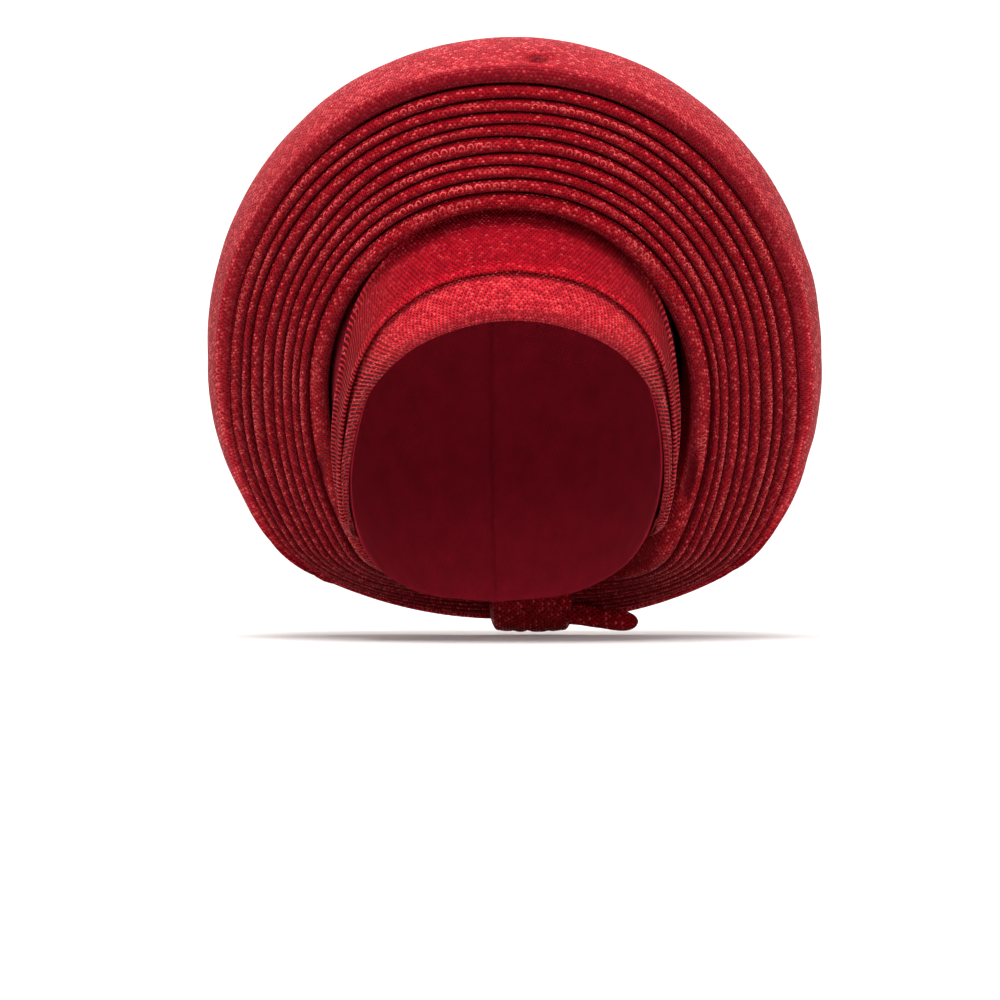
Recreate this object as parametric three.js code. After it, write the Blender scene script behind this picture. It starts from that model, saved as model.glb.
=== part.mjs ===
// A ready-made wrapped turban: a fitted cap, two folded brow bands, a fan of nine round pleats, a wide
// rim band, a back panel gathered down to the nape, and the knot and tucked end that hold the gathers.
// Millimetres, +Z up, the face looks along -Y. The origin is where the crown of the head meets the cap.
import * as THREE from "three";

// Driving dimensions: the head form that the cap is fitted to
const headBreadth = 140;
const headLength = 188;
const crownHeight = 82; // from the head's widest level up to the crown
const headBelow = 122; // from the widest level down to where the head form would close

// Driving dimensions: cloth
const capWall = 1;
const bandWall = 1.4; // a brow band, folded double
const foldRidge = 0.9; // how far the rolled edges of the upper band stand up
const clothWall = 1;
const rimWall = 1.4;
const clearance = 0.3; // between two pieces that lie on each other
const bedding = 0.8; // the same between two broad curved pieces, whose flat facets cut corners

// Driving dimensions: the face opening and the brow bands, as drops below the crown
const browDrop = 63.8;
const napeDrop = 182;
const lowerBandWidth = 20;
const upperBandWidth = 28.8;
const bandPuff = 1.6;
const capInset = 4; // the cap's own edge lies this far above the lower band's

// Driving dimensions: the fan, and how it sits on the head
const pleatCount = 9;
const pleatDepth = 19;
const grooveGap = 0.6;
const fanInnerRadius = 75;
const fanInnerDrop = 95.5;
const fanInnerFront = 77; // how far the innermost pleat stands before the head's middle
const fanOuterRadius = 126.8;
const fanOuterDrop = 76;
const fanOuterFront = 91;
const fanTurn = -3; // degrees that the fan is turned from the face, to the wearer's right
const fanAside = 1.4; // the fan's inner edge lies this far to the wearer's left of the head's middle
const rimAside = 3.7;
const fanDrift = 4.8; // how much further aside everything comes on its way down
const bridgeRise = 3.2; // how high the fan's inner wall passes over the top of the upper band

// Driving dimensions: the rim band, the back and the nape
const rimRise = 5.5; // from the last groove up to the most forward line of the rim
const rimCrown = 40; // from the rim's front back to its widest line
const rimDepth = 88; // from the rim's front back to its hem
const rimHemInset = 5; // how much smaller the hem's ring is than the widest one
const panelInset = 1.9; // from the rim band's inside to the back panel tucked under it
const gatherCount = 11;
const gatherHeight = 2.2;
const knotLength = 36;
const knotAside = 12;
const knotBack = 84; // the knot's middle behind the head's middle
const knotDrop = 178;
const knotBreadth = 34;
const knotThickness = 19;
const knotTilt = 45; // degrees that the knot's breadth falls backwards
const tailLength = 27;
const tailHeight = 9;
const tailThickness = 7;

const FAN_STATIONS = 33;
const BAND_STATIONS = 29;
const CAP_STATIONS = 32;
const CAP_ROWS = 8;
const PANEL_STATIONS = 39;
const PANEL_ROWS = 7;
const KNOT_SIDES = 16;

const tailStartAngle = 125; // degrees from the top where a ring leaves its circle
const ringEndAngle = 168;
const bandShowsAngles = [50, 75]; // degrees over which the upper band comes out from under the fan
const panelEndAngle = 162;
const bandEndAngle = 100;

// The three lines of the brow bands, by degrees round the head from the brow to the hem's own point. The
// seam's and the top edge's points turn further round. Each drop is a share of the way down to the nape.
const BROW_ROWS = [
  { angle: 0, hem: 0, seamTurn: 0, seam: 0, topTurn: 0, top: 0 },
  { angle: 7, hem: 0.004, seamTurn: 11.5, seam: 0.01, topTurn: 15, top: 0.003 },
  { angle: 14, hem: 0.017, seamTurn: 23.3, seam: 0.034, topTurn: 27, top: 0.015 },
  { angle: 22, hem: 0.042, seamTurn: 34.5, seam: 0.083, topTurn: 40, top: 0.057 },
  { angle: 32, hem: 0.087, seamTurn: 45, seam: 0.157, topTurn: 51, top: 0.123 },
  { angle: 42, hem: 0.157, seamTurn: 53.2, seam: 0.255, topTurn: 60, top: 0.23 },
  { angle: 53, hem: 0.265, seamTurn: 60.2, seam: 0.37, topTurn: 66, top: 0.389 },
  { angle: 62, hem: 0.406, seamTurn: 67.2, seam: 0.501, topTurn: 73.5, top: 0.512 },
  { angle: 70, hem: 0.52, seamTurn: 74, seam: 0.606, topTurn: 80, top: 0.599 },
  { angle: 81, hem: 0.657, seamTurn: 84, seam: 0.725, topTurn: 89, top: 0.698 },
  { angle: 95, hem: 0.797, seamTurn: 96, seam: 0.826, topTurn: 98.5, top: 0.79 },
  { angle: 112, hem: 0.89, seamTurn: 112, seam: 0.892, topTurn: 112, top: 0.85 },
  { angle: 140, hem: 0.97, seamTurn: 140, seam: 0.96, topTurn: 140, top: 0.95 },
  { angle: 180, hem: 1, seamTurn: 180, seam: 1, topTurn: 180, top: 1 },
];

// The fan's section, by degrees from the top. first and last are the shares of the fan's width where the
// first and the last groove lie, and depth is a share of the pleat depth.
const FAN_ROWS = [
  { angle: 0, first: 0.098, last: 0.686, depth: 1 },
  { angle: 45, first: 0.13, last: 0.73, depth: 0.95 },
  { angle: 60, first: 0.14, last: 0.75, depth: 0.9 },
  { angle: 75, first: 0.15, last: 0.78, depth: 0.85 },
  { angle: 90, first: 0.16, last: 0.812, depth: 0.8 },
  { angle: 105, first: 0.17, last: 0.86, depth: 0.7 },
  { angle: 127, first: 0.16, last: 0.9, depth: 0.55 },
  { angle: 168, first: 0.13, last: 0.86, depth: 0.27 },
];

// The rings that the outside runs through, from the fan's inner edge to the rim's hem. lean is how far a
// ring falls back for each unit that it comes down. In its lower half stretch lengthens it and full
// widens it. aside moves it to the wearer's left, and knotAlong and knotOver say where it meets the knot,
// as shares of the knot's breadth and thickness.
const RINGS = {
  inner: { radius: fanInnerRadius, centre: fanInnerDrop, front: fanInnerFront, lean: 0.77,
    stretch: 1.4, full: 0, aside: fanAside, knotAlong: -0.44, knotOver: -0.037 },
  outer: { radius: fanOuterRadius, centre: fanOuterDrop, front: fanOuterFront, lean: 0.74,
    stretch: 1, full: 0.055, aside: rimAside, knotAlong: 0.353, knotOver: -0.037 },
  widest: { radius: fanOuterRadius, centre: fanOuterDrop, front: fanOuterFront - rimCrown, lean: 0.53,
    stretch: 1, full: 0.055, aside: rimAside, knotAlong: 0.368, knotOver: 0.184 },
  hem: { radius: fanOuterRadius - rimHemInset, centre: fanOuterDrop, front: fanOuterFront - rimDepth,
    lean: 0.47, stretch: 1, full: 0.055, aside: rimAside, knotAlong: 0.235, knotOver: 0.5 },
};

// The tucked end's path from the knot's side, in the same shares.
const TAIL_ROWS = [
  { share: 0, along: 0.059, over: -0.295 },
  { share: 0.35, along: 0.059, over: -0.342 },
  { share: 0.7, along: 0, over: -0.632 },
  { share: 1, along: -0.074, over: -0.763 },
];

const radians = THREE.MathUtils.degToRad;
const mix = THREE.MathUtils.lerp;

// A smooth curve through one column of a table, the same on both sides of 0 degrees.
function column(rows, angle, name) {
  const at = Math.abs(angle);
  let i = 0;
  while (i < rows.length - 2 && at > rows[i + 1].angle) i += 1;
  const [a, b] = [rows[i], rows[i + 1]];
  const before = i ? rows[i - 1] : { ...rows[1], angle: -rows[1].angle };
  const after = rows[i + 2] ?? b;
  const span = b.angle - a.angle;
  const slopeA = ((b[name] - before[name]) / (b.angle - before.angle)) * span;
  const slopeB = after === b ? b[name] - a[name]
    : ((after[name] - a[name]) / (after.angle - a.angle)) * span;
  const t = (at - a.angle) / span;
  const [t2, t3] = [t * t, t * t * t];
  return (2 * t3 - 3 * t2 + 1) * a[name] + (t3 - 2 * t2 + t) * slopeA
    + (3 * t2 - 2 * t3) * b[name] + (t3 - t2) * slopeB;
}

// A closed solid through sections with the same number of points, with flat or slightly bent ends.
// endFaces lists the triangles of an end, by point number.
function loft(sections, endFaces, ringed = false) {
  const count = sections[0].length;
  const positions = sections.flat().flatMap((p) => [p.x, p.y, p.z]);
  const faces = [];
  const spans = ringed ? sections.length : sections.length - 1;
  for (let i = 0; i < spans; i += 1) {
    const [here, next] = [i * count, ((i + 1) % sections.length) * count];
    for (let j = 0; j < count; j += 1) {
      const k = (j + 1) % count;
      faces.push(here + j, next + j, next + k, here + j, next + k, here + k);
    }
  }
  if (!ringed) {
    const last = (sections.length - 1) * count;
    for (const [a, b, c] of endFaces) faces.push(a, b, c, last + a, last + c, last + b);
  }
  const geometry = new THREE.BufferGeometry();
  geometry.setAttribute("position", new THREE.Float32BufferAttribute(positions, 3));
  geometry.setIndex(facingOut(positions, faces));
  geometry.computeVertexNormals();
  return geometry;
}

// Turns every face round if the volume that they enclose is negative.
function facingOut(positions, faces) {
  const [a, b, c] = [new THREE.Vector3(), new THREE.Vector3(), new THREE.Vector3()];
  let volume = 0;
  for (let i = 0; i < faces.length; i += 3) {
    a.fromArray(positions, faces[i] * 3);
    b.fromArray(positions, faces[i + 1] * 3);
    c.fromArray(positions, faces[i + 2] * 3);
    volume += a.dot(b.cross(c));
  }
  if (volume > 0) return faces;
  return faces.map((_, i) => faces[i % 3 === 0 ? i : i % 3 === 1 ? i + 1 : i - 1]);
}

// The end triangles of a section whose points are given flat, as pairs.
function endTriangles(flat) {
  const faces = THREE.ShapeUtils.triangulateShape(flat.map(([u, v]) => new THREE.Vector2(u, v)), []);
  const isForward = faces.some((face) => face.some((p, i) => p === 0 && face[(i + 1) % 3] === 1));
  return isForward ? faces : faces.map(([a, b, c]) => [a, c, b]);
}

// A wall between two rows of points: out along one, back along the other.
function strip(outside, inside) {
  return [...outside, ...inside.toReversed()];
}

function stripEnds(count) {
  const faces = [];
  for (let j = 0; j < count - 1; j += 1) {
    const [k, l] = [2 * count - 1 - j, 2 * count - 2 - j];
    faces.push([j, j + 1, l], [j, l, k]);
  }
  return faces;
}

function spaced(from, to, count) {
  return Array.from({ length: count }, (_, i) => mix(from, to, i / (count - 1)));
}

// A point of the head form at a turn from the brow and a drop below the crown, grown outwards.
function headPoint(turn, drop, grow) {
  const rise = crownHeight - drop;
  const height = (rise > 0 ? crownHeight : headBelow) + grow;
  const round = Math.sqrt(Math.max(0, 1 - (rise / height) ** 2));
  return new THREE.Vector3(
    (headBreadth / 2 + grow) * round * Math.sin(radians(turn)),
    -(headLength / 2 + grow) * round * Math.cos(radians(turn)),
    -drop,
  );
}

// Below 1 where a point lies inside the head form grown outwards.
function headShare(point, grow) {
  const rise = point.z + crownHeight;
  const height = (rise > 0 ? crownHeight : headBelow) + grow;
  return Math.hypot(point.x / (headBreadth / 2 + grow), point.y / (headLength / 2 + grow), rise / height);
}

function hemDrop(turn) {
  return mix(browDrop, napeDrop, column(BROW_ROWS, turn, "hem"));
}

// Inner cap: a close skull cap that everything else is sewn to.
function innerCap() {
  const sections = spaced(-180, 180, CAP_STATIONS + 1).slice(0, -1).map((turn) => {
    const drop = hemDrop(turn) - capInset;
    const wall = (grow) => {
      const below = crownHeight - drop;
      const reach = (below > 0 ? crownHeight : headBelow) + grow;
      const start = Math.asin(below / reach);
      return spaced(start, Math.PI / 2, CAP_ROWS).slice(0, -1).map((latitude) => {
        const height = (latitude > 0 ? crownHeight : headBelow) + grow;
        return headPoint(turn, crownHeight - height * Math.sin(latitude), grow);
      });
    };
    return strip(wall(capWall), wall(0));
  });
  const rows = CAP_ROWS - 1;
  const positions = sections.flat();
  const outerPole = positions.length;
  positions.push(new THREE.Vector3(0, 0, capWall), new THREE.Vector3(0, 0, 0));
  const faces = [];
  sections.forEach((_, i) => {
    const [here, next] = [i * 2 * rows, ((i + 1) % sections.length) * 2 * rows];
    for (let j = 0; j < 2 * rows; j += 1) {
      const k = (j + 1) % (2 * rows);
      if (j !== rows - 1) faces.push(here + j, next + j, next + k, here + j, next + k, here + k);
    }
    faces.push(here + rows - 1, next + rows - 1, outerPole, here + rows, outerPole + 1, next + rows);
  });
  const flat = positions.flatMap((p) => [p.x, p.y, p.z]);
  const geometry = new THREE.BufferGeometry();
  geometry.setAttribute("position", new THREE.Float32BufferAttribute(flat, 3));
  geometry.setIndex(facingOut(flat, faces));
  geometry.computeVertexNormals();
  return geometry;
}

// The turn and the drop of the three lines that the brow bands run between.
function browLines(angle) {
  const side = Math.sign(angle);
  const line = (drop, name) => [
    side * column(BROW_ROWS, angle, `${name}Turn`),
    mix(drop, napeDrop, column(BROW_ROWS, angle, name)),
  ];
  const seamDrop = browDrop - lowerBandWidth;
  return {
    hem: [angle, hemDrop(angle)],
    seam: line(seamDrop, "seam"),
    top: line(seamDrop - upperBandWidth, "top"),
  };
}

// One brow band: sections of [share across the band, height above the head form].
function browBand(from, to, profile) {
  const sections = spaced(-bandEndAngle, bandEndAngle, BAND_STATIONS).map((angle) => {
    const lines = browLines(angle);
    return profile.map(([across, grow]) => headPoint(
      mix(lines[from][0], lines[to][0], across),
      mix(lines[from][1], lines[to][1], across),
      grow,
    ));
  });
  return loft(sections, endTriangles(profile));
}

function lowerBrowBand() {
  const base = capWall + bedding;
  const top = base + bandWall;
  return browBand("hem", "seam", [
    [0.05, base], [-0.02, base + bandWall / 2], [0.04, top], [0.22, top + bandPuff * 0.8],
    [0.5, top + bandPuff], [0.8, top + bandPuff * 0.45], [1, top], [1.25, top],
    [1.25, base], [0.65, base],
  ]);
}

function upperBrowBand() {
  const low = capWall + bedding; // lying on the cap
  const high = low + bandWall + bedding; // lying on the lower band's edge
  return browBand("seam", "top", [
    [0.04, high], [-0.03, high + bandWall / 2], [0.02, high + bandWall + foldRidge],
    [0.1, high + bandWall + foldRidge], [0.22, high + bandWall], [0.5, low + bandWall],
    [0.88, low + bandWall], [0.93, low + bandWall + foldRidge], [0.99, low + bandWall + foldRidge],
    [1.02, low + bandWall / 2], [0.96, low], [0.7, low], [0.42, low], [0.2, high],
  ]);
}

// Turns a point from the fan's own middle line to where the fan sits on the head.
function worn(point) {
  return point.applyAxisAngle(new THREE.Vector3(0, 0, 1), radians(fanTurn));
}

// A point of the knot's own section: along its breadth and over it, aside from its middle.
function knotPoint(aside, along, over) {
  const [cos, sin] = [Math.cos(radians(knotTilt)), Math.sin(radians(knotTilt))];
  return new THREE.Vector3(
    knotAside + aside,
    knotBack + along * cos + over * sin,
    -knotDrop - along * sin + over * cos,
  );
}

// A point of a ring: round the top and sides on a circle, then along a tail to the knot.
function ringPoint(ring, angle) {
  const onCircle = (turn) => {
    const fall = ring.radius * (Math.cos(radians(turn)) > 0 ? 1 : ring.stretch) * Math.cos(radians(turn));
    const fuller = 1 + ring.full * Math.max(0, -Math.cos(radians(turn)));
    return new THREE.Vector3(
      ring.radius * Math.sin(radians(turn)) * fuller + ring.aside
        + fanDrift * ((1 - Math.cos(radians(turn))) / 2) ** 2,
      -ring.front + (ring.radius - fall) * ring.lean,
      fall - ring.centre,
    );
  };
  if (Math.abs(angle) <= tailStartAngle) return worn(onCircle(angle));
  const side = Math.sign(angle);
  const start = onCircle(side * tailStartAngle);
  const heading = start.clone().sub(onCircle(side * (tailStartAngle - 1))).normalize();
  const end = knotPoint(
    side * (knotLength / 2 + clearance),
    ring.knotAlong * knotBreadth,
    ring.knotOver * knotThickness,
  );
  const reach = start.distanceTo(end);
  return worn(new THREE.CubicBezierCurve3(
    start,
    start.clone().addScaledVector(heading, reach * 0.28),
    end.clone().add(new THREE.Vector3(side * reach * 0.34, 0, 0)),
    end,
  ).getPoint((Math.abs(angle) - tailStartAngle) / (ringEndAngle - tailStartAngle)));
}

// A ring between the fan's inner and outer ones.
function fanRing(share) {
  const { inner, outer } = RINGS;
  const ring = {};
  for (const name of Object.keys(inner)) ring[name] = mix(inner[name], outer[name], share);
  return ring;
}

// The fan's face at one angle: point(across, deep) in millimetres outwards and backwards.
function fanFace(angle) {
  const step = 0.5;
  const [low, high] = [Math.max(-ringEndAngle, angle - step), Math.min(ringEndAngle, angle + step)];
  const frames = spaced(0, 1, 5).map((share) => {
    const ring = fanRing(share);
    const along = ringPoint(ring, high).sub(ringPoint(ring, low));
    if (Math.abs(angle) === ringEndAngle) along.copy(worn(new THREE.Vector3(1, 0, 0)));
    return { at: ringPoint(ring, angle), along };
  });
  const outwards = frames[4].at.clone().sub(frames[0].at);
  const width = outwards.length();
  const backwards = frames.map(({ along }) => {
    const normal = along.clone().cross(outwards).normalize();
    return normal.y < 0 ? normal.negate() : normal;
  });
  const point = (across, deep) => {
    const share = THREE.MathUtils.clamp(across / width, 0, 1) * 4;
    const i = Math.min(3, Math.floor(share));
    const base = frames[i].at.clone().lerp(frames[i + 1].at, share - i);
    const normal = backwards[i].clone().lerp(backwards[i + 1], share - i).normalize();
    return base.addScaledVector(normal, deep);
  };
  return { width, point, outwards: outwards.normalize(), along: frames[0].along };
}

function fanGrooves(angle, width) {
  const first = width * column(FAN_ROWS, angle, "first");
  const last = width * column(FAN_ROWS, angle, "last");
  return [0, ...spaced(first, last, pleatCount)];
}

// A point moved straight out from the head's middle, or in, until it lies on the grown head form.
function onHead(point, grow) {
  const middle = new THREE.Vector3(0, 0, -crownHeight);
  return point.sub(middle).divideScalar(headShare(point.clone().add(middle), grow)).add(middle);
}

// The innermost wall: from its seat on the cap forwards over the top of the upper band to its front.
function innerWall(face, depth, front, bandShare) {
  const inPlane = (point) => {
    const off = point.clone().sub(face.point(0, 0)).dot(face.along) / face.along.lengthSq();
    return point.addScaledVector(face.along, -off);
  };
  const seat = capWall + 2 * bedding;
  const root = inPlane(onHead(face.point(0, depth), seat));
  const over = mix(seat, seat - bedding + bandWall + foldRidge + bridgeRise, bandShare);
  const lifted = (point, grow) => (headShare(point, grow) < 1 ? inPlane(onHead(point, grow)) : point);
  return [root, lifted(face.point(0, 0).lerp(root, 0.35), over), lifted(face.point(0, front), seat)];
}

// Pleated fan: one length of cloth folded forwards and back, wall by wall.
function fanSection(angle) {
  const face = fanFace(angle);
  const grooves = fanGrooves(angle, face.width);
  const depth = pleatDepth * column(FAN_ROWS, angle, "depth");
  const pitch = (grooves[pleatCount] - grooves[1]) / (pleatCount - 1);
  const wall = Math.min(clothWall, 0.36 * pitch);
  const gap = Math.min(grooveGap, 0.12 * pitch);
  const front = [];
  const back = [];
  for (let i = 1; i <= pleatCount; i += 1) {
    const [left, right] = [grooves[i - 1], grooves[i]];
    const size = right - left;
    const shoulder = Math.min(size, pitch * 1.2) * 0.32;
    if (i > 1) front.push([left + gap / 2, depth - wall], [left + gap / 2, shoulder]);
    else front.push([left, shoulder]);
    front.push(
      [left + size * 0.27, shoulder * 0.15], [right - size * 0.27, shoulder * 0.15],
      [right - gap / 2, shoulder], [right - gap / 2, i < pleatCount ? depth - wall : depth],
    );
    if (i > 1) back.push([left + gap / 2 + wall, depth]);
    back.push(
      [left + gap / 2 + wall, shoulder + wall * 0.3], [right - gap / 2 - wall, shoulder + wall * 0.3],
      [right - gap / 2 - wall, depth],
    );
  }
  const toPoints = (list) => list.map(([across, deep]) => face.point(across, deep));
  const bandShare = 1 - THREE.MathUtils.smoothstep(Math.abs(angle), bandShowsAngles[0], bandShowsAngles[1]);
  const inner = innerWall(face, depth * 1.6, pitch * 0.8, bandShare);
  const innerBack = inner.map((p) => p.clone().addScaledVector(face.outwards, wall));
  const points = strip([...inner, ...toPoints(front)], [...innerBack, ...toPoints(back)]);
  const flatInner = [depth * 1.6, depth, pitch * 0.8];
  const flatFront = [...flatInner.map((deep) => [0, deep]), ...front];
  const flatBack = [...flatInner.map((deep) => [wall, deep]), ...back];
  return { outline: strip(flatFront, flatBack), points };
}

function pleatedFan() {
  const sections = spaced(-ringEndAngle, ringEndAngle, FAN_STATIONS).map(fanSection);
  return loft(sections.map((s) => s.points), endTriangles(sections[0].outline));
}

// The rim's outer line at one angle, from its root in the last groove to its hem.
function rimLine(angle) {
  const face = fanFace(angle);
  const grooves = fanGrooves(angle, face.width);
  const depth = pleatDepth * column(FAN_ROWS, angle, "depth");
  const room = face.width - grooves[pleatCount];
  const rise = Math.min(rimRise, room * 0.45);
  const start = grooves[pleatCount] + Math.min(grooveGap, room * 0.17);
  const crest = face.point(start + rise, 0);
  const sweep = new THREE.CatmullRomCurve3([
    face.point(start + rise * 0.35, rise * 0.2),
    crest,
    ringPoint(RINGS.widest, angle),
    ringPoint(RINGS.hem, angle),
  ], false, "centripetal");
  const root = [
    face.point(start, depth),
    face.point(start, rise * 0.9),
    face.point(start + rise * 0.1, rise * 0.45),
  ];
  return [...root, ...spaced(0, 1, 10).map((t) => sweep.getPoint(t))];
}

// Shifts a grid of points along its own normals. The normal points out of the turban at the middle row.
function shifted(grid, distance) {
  const middle = Math.floor(grid.length / 2);
  const normalAt = (i, j) => {
    const across = grid[Math.min(i + 1, grid.length - 1)][j].clone().sub(grid[Math.max(i - 1, 0)][j]);
    const line = grid[i];
    const along = line[Math.min(j + 1, line.length - 1)].clone().sub(line[Math.max(j - 1, 0)]);
    return across.cross(along).normalize();
  };
  const last = grid[middle].length - 1;
  const outwards = normalAt(middle, last).dot(new THREE.Vector3(0, 1, 1)) > 0 ? 1 : -1;
  return grid.map((line, i) => line.map((p, j) => p.clone().addScaledVector(
    normalAt(i, j), outwards * (typeof distance === "function" ? distance(i, j) : distance),
  )));
}

// Rim band: the wide outer fold, rolled forwards over the last pleat and hemmed behind.
function rimBand() {
  const angles = spaced(-ringEndAngle, ringEndAngle, FAN_STATIONS);
  const outside = angles.map(rimLine);
  const walls = angles.map((angle) => {
    const { width } = fanFace(angle);
    return Math.min(rimWall, width * (1 - column(FAN_ROWS, angle, "last")) * 0.3);
  });
  const inside = shifted(outside, (i) => -walls[i]);
  for (const i of [0, angles.length - 1]) inside[i].forEach((p, j) => p.setX(outside[i][j].x));
  return loft(outside.map((line, i) => strip(line, inside[i])), stripEnds(outside[0].length));
}

// The back panel's line at one angle, from the rim's hem over the back of the head to the knot.
function panelLine(angle) {
  const hem = ringPoint(RINGS.hem, angle);
  const before = rimLine(angle).at(-2);
  const fan = radians(90 * (angle / ringEndAngle));
  const foot = worn(knotPoint(
    (knotLength / 2 + clothWall) * Math.sin(fan),
    knotBreadth * mix(-0.118, 0.206, Math.sin(fan) ** 2),
    knotThickness / 2 + panelInset + clearance,
  ));
  const reach = hem.distanceTo(foot);
  const rise = worn(new THREE.Vector3(Math.sin(fan), 0.55, Math.cos(fan)));
  const leaving = hem.clone().sub(before).normalize();
  const sweep = new THREE.CubicBezierCurve3(
    hem,
    hem.clone().addScaledVector(leaving, reach * 0.36),
    foot.clone().addScaledVector(rise, reach * 0.4),
    foot,
  );
  return [before, ...spaced(0, 1, PANEL_ROWS + 1).map((t) => sweep.getPoint(t))];
}

// Back panel: plain cloth from under the rim's hem, gathered into soft folds at the knot.
function backPanel() {
  const angles = spaced(-panelEndAngle, panelEndAngle, PANEL_STATIONS);
  const lines = angles.map(panelLine);
  const gather = (i, j) => {
    const down = j / (PANEL_ROWS + 1);
    return gatherHeight * Math.sin(Math.PI * down ** 2) * Math.cos(radians(angles[i] * gatherCount));
  };
  const outside = shifted(lines, (i, j) => gather(i, j) - rimWall - panelInset);
  const inside = shifted(lines, (i, j) => gather(i, j) - rimWall - panelInset - clothWall);
  return loft(outside.map((line, i) => strip(line, inside[i])), stripEnds(outside[0].length));
}

// Nape knot: a short wrap round the ends of the fan, the rim and the panel.
function napeKnot() {
  const sections = spaced(-1, 1, 7).map((share) => {
    const swell = 0.88 + 0.12 * Math.sqrt(Math.max(0, 1 - share * share));
    return spaced(0, 360, KNOT_SIDES + 1).slice(0, -1).map((turn) => worn(knotPoint(
      (share * knotLength) / 2,
      (knotBreadth / 2) * swell * Math.cos(radians(turn)),
      (knotThickness / 2) * swell * Math.sin(radians(turn)),
    )));
  });
  const end = spaced(1, KNOT_SIDES - 2, KNOT_SIDES - 2).map((j) => [0, j, j + 1]);
  return loft(sections, end);
}

// Tucked end: the rolled end of the cloth that shows below the fan on the wearer's left.
function tuckedEnd() {
  const path = new THREE.CubicBezierCurve3(...TAIL_ROWS.map(({ share, along, over }) => worn(
    knotPoint(knotLength / 2 + clearance + share * tailLength, along * knotBreadth, over * knotThickness),
  )));
  const sections = spaced(0, 1, 9).map((share) => {
    const swell = Math.sqrt(1 - (0.98 * Math.max(0, (share - 0.7) / 0.3)) ** 2);
    const at = path.getPoint(share);
    const side = new THREE.Vector3(0, 0, 1).cross(path.getTangent(share)).normalize();
    return spaced(0, 360, 11).slice(0, -1).map((turn) => at.clone()
      .addScaledVector(side, (tailThickness / 2) * swell * Math.cos(radians(turn)))
      .add(new THREE.Vector3(0, 0, (tailHeight / 2) * swell * Math.sin(radians(turn)))));
  });
  const end = spaced(1, 8, 8).map((j) => [0, j, j + 1]);
  return loft(sections, end);
}

const wovenRed = new THREE.MeshStandardMaterial({ color: 0xa3152a, roughness: 0.5, metalness: 0.1 });
const brightRed = new THREE.MeshStandardMaterial({ color: 0xc4202f, roughness: 0.45, metalness: 0.1 });
const capRed = new THREE.MeshStandardMaterial({ color: 0x7d0f1e, roughness: 0.7, metalness: 0 });

const pieces = [
  ["inner_cap", innerCap, capRed],
  ["brow_band_lower", lowerBrowBand, brightRed],
  ["brow_band_upper", upperBrowBand, brightRed],
  ["pleated_fan", pleatedFan, wovenRed],
  ["rim_band", rimBand, brightRed],
  ["back_panel", backPanel, wovenRed],
  ["nape_knot", napeKnot, wovenRed],
  ["tucked_end", tuckedEnd, wovenRed],
];

const turban = new THREE.Group();
for (const [name, make, material] of pieces) {
  const mesh = new THREE.Mesh(make(), material);
  mesh.name = name;
  turban.add(mesh);
}

export default turban;
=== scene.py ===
# A ready-made wrapped turban in crimson openwork knit with a metallic thread, kept in the form that it
# has on a head. The pieces' sizes are in millimetres and go to metres as each mesh is made. +Z is up and
# the face opening looks along -Y. The origin is where the crown of the head meets the cap.
import math
from functools import partial

import bpy
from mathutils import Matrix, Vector, noise


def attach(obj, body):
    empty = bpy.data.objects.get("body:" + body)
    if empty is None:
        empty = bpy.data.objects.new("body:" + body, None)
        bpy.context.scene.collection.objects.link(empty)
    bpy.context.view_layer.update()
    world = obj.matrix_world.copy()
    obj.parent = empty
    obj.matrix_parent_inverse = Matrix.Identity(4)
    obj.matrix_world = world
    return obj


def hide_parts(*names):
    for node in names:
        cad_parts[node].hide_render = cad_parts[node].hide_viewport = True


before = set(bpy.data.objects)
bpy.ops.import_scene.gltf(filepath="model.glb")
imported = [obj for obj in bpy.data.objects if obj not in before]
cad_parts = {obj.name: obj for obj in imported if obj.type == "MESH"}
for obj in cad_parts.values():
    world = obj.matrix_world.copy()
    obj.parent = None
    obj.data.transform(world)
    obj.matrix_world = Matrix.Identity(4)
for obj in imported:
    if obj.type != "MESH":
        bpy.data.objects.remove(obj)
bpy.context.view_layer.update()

# Camera: level with the wearer's nose and a few degrees to the wearer's right of the face, far enough
# away that the turban's depth hardly narrows it.
CAMERA_DISTANCE = 2.2
CAMERA_HEIGHT = -0.135
CAMERA_TURN = math.radians(-3)
CAMERA_LENS = 193.2
CAMERA_SHIFT = -0.003


def in_scene(name, data):
    """A new object that shows data in the scene."""
    made = bpy.data.objects.new(name, data)
    bpy.context.scene.collection.objects.link(made)
    return made


camera_data = bpy.data.cameras.new("camera")
camera_data.lens = CAMERA_LENS
camera_data.shift_x = CAMERA_SHIFT
camera = in_scene("camera", camera_data)
camera.location = (
    CAMERA_DISTANCE * math.sin(CAMERA_TURN), -CAMERA_DISTANCE * math.cos(CAMERA_TURN), CAMERA_HEIGHT,
)
camera.rotation_euler = (math.radians(90), 0, CAMERA_TURN)
bpy.context.scene.camera = camera

# Inner cap: a close skull cap of plain matt jersey, cut to the head, sewn up the back and hemmed, that
# every other piece is sewn to. Its inside is what shows through the face opening.
HEAD_BREADTH = 140
HEAD_LENGTH = 188
CROWN_HEIGHT = 82
HEAD_BELOW = 122
CAP_WALL = 1
CAP_INSET = 4
CAP_HEM = 9  # width of the turned hem, which ends in a stitched dent
HEM_DENT = 0.25
BROW_DROP = 63.8
NAPE_DROP = 182
CAP_STATIONS = 180
CAP_ROWS = 46
CAP_TOP = math.radians(89.2)  # where its rows end, just short of the crown
HEAD_MIDDLE = Vector((0, 0, -CROWN_HEIGHT))


def table(columns, *rows):
    """Rows with their values under the names of the columns."""
    return [dict(zip(columns.split(), row)) for row in rows]


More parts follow.
